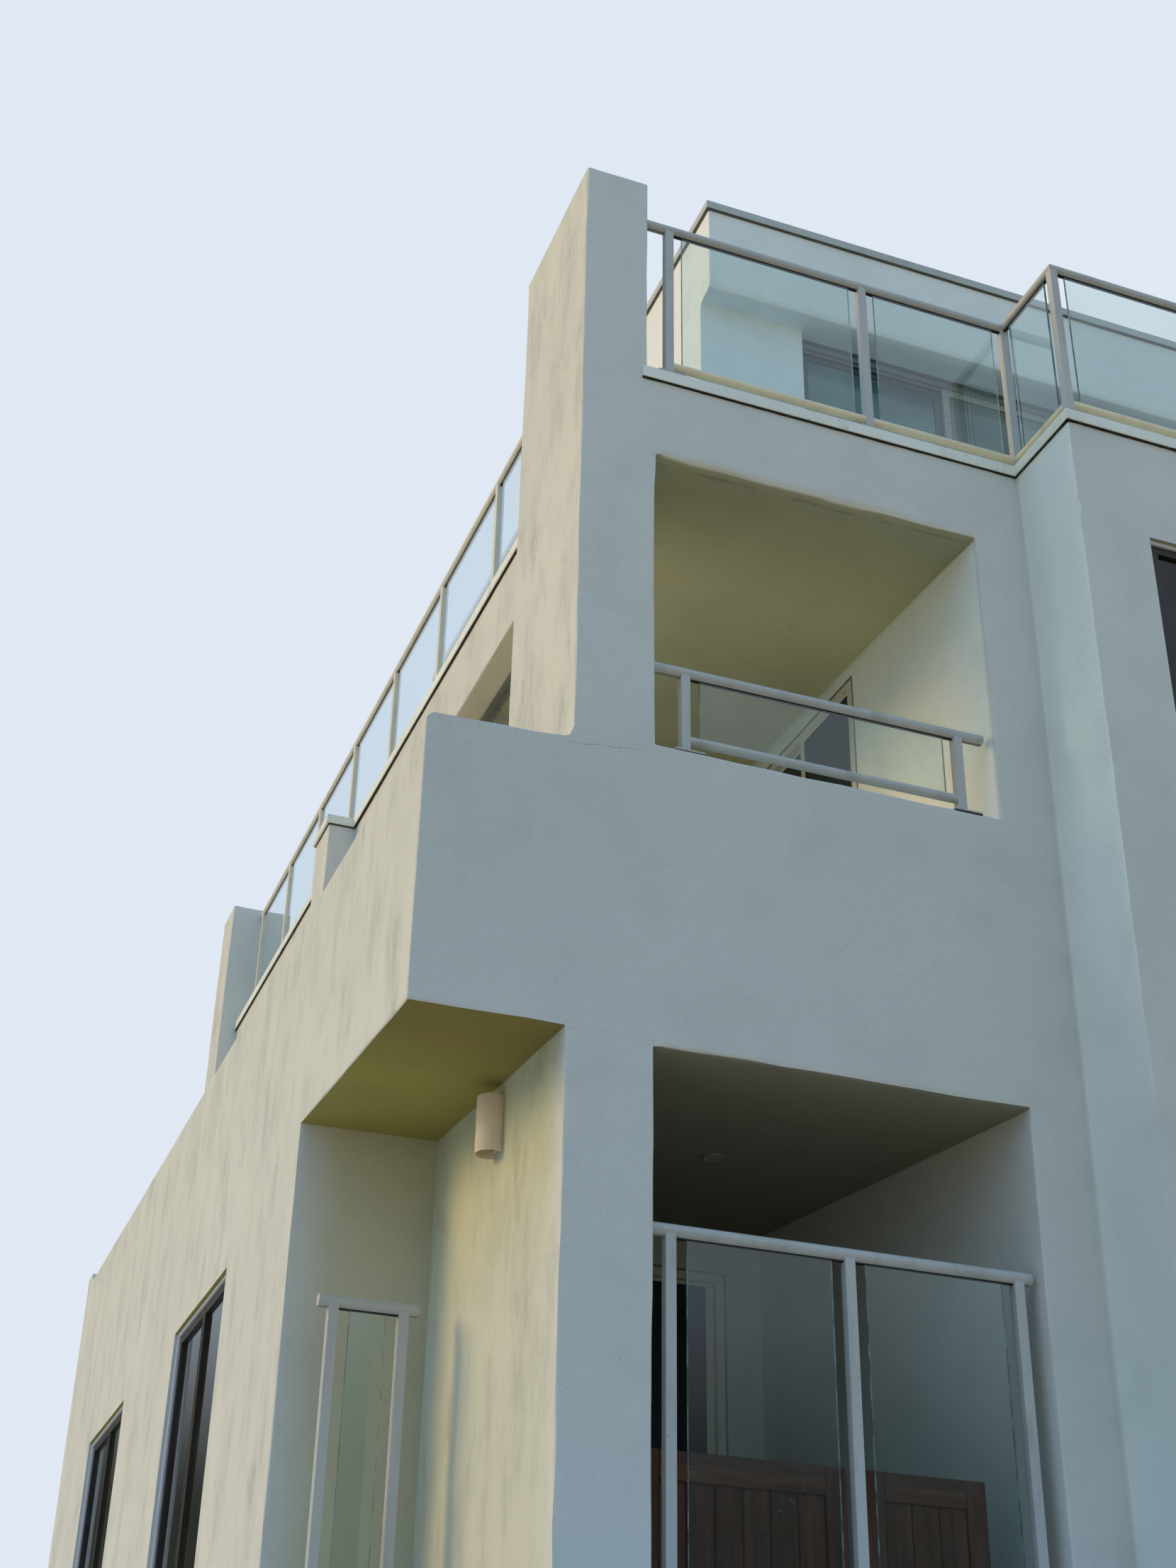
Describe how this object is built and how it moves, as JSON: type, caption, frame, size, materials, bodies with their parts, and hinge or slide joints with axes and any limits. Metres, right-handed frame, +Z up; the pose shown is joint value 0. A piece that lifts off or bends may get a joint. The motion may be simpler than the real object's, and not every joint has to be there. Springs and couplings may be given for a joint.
{
  "type": "apartment block",
  "caption": "White stucco apartment block with corner loggias, balconies, tall corner pylons, glass guards and a roof terrace with a set-back penthouse.",
  "frame": {"origin": "ground level, at the centre of the overall plan box", "axes": "+Z up, the front of the building faces -Y, +X to the right as seen from the front"},
  "size_m": [9.47, 9.64, 8.895],
  "materials": {
    "stucco": "hand-trowelled matt",
    "soffit": "smooth matt",
    "concrete": "floated",
    "coping": "satin",
    "rail_paint": "satin",
    "guard_glass": "clear, faint green",
    "timber": "weathered stain",
    "white_frame": "satin",
    "dark_frame": "satin",
    "dark_glass": "dark, reflective",
    "light_shell": "matt",
    "light_lens": "frosted"
  },
  "bodies": {
    "root": {"bay_wall": "stucco", "side_walls": "stucco", "back_wall_lower": "stucco", "back_wall_upper": "stucco", "front_walls": "stucco", "front_pillars": "stucco", "pylons": "stucco", "balcony_fronts": "stucco", "upper_side_walls": "stucco", "pilasters": "stucco", "corner_blocks": "stucco", "lower_loggia_walls": "stucco", "upper_loggia_walls": "stucco", "penthouse_walls": "stucco", "penthouse_band": "stucco", "side_lintels": "stucco", "loggia_ceilings": "soffit", "porch_ceilings": "soffit", "ground_floor": "concrete", "upper_floor": "concrete", "roof_deck": "concrete", "penthouse_roof": "concrete", "roof_coping": "coping", "penthouse_coping": "coping", "roof_top_rails": "rail_paint", "roof_low_rails": "rail_paint", "roof_posts": "rail_paint", "loggia_top_rails": "rail_paint", "loggia_low_rails": "rail_paint", "loggia_posts": "rail_paint", "screen_rails": "rail_paint", "screen_posts": "rail_paint", "roof_glass": "guard_glass", "loggia_glass": "guard_glass", "screen_glass": "guard_glass", "timber_panels": "timber", "entrance_door": "timber", "window_frames": "white_frame", "slider_frames": "white_frame", "entrance_frame": "white_frame", "penthouse_door_frames": "dark_frame", "screen_tracks": "dark_frame", "window_glass": "dark_glass", "slider_glass": "dark_glass", "penthouse_door_glass": "dark_glass", "wall_lights": "light_shell", "ceiling_lights": "light_lens"}
  },
  "joints": []
}
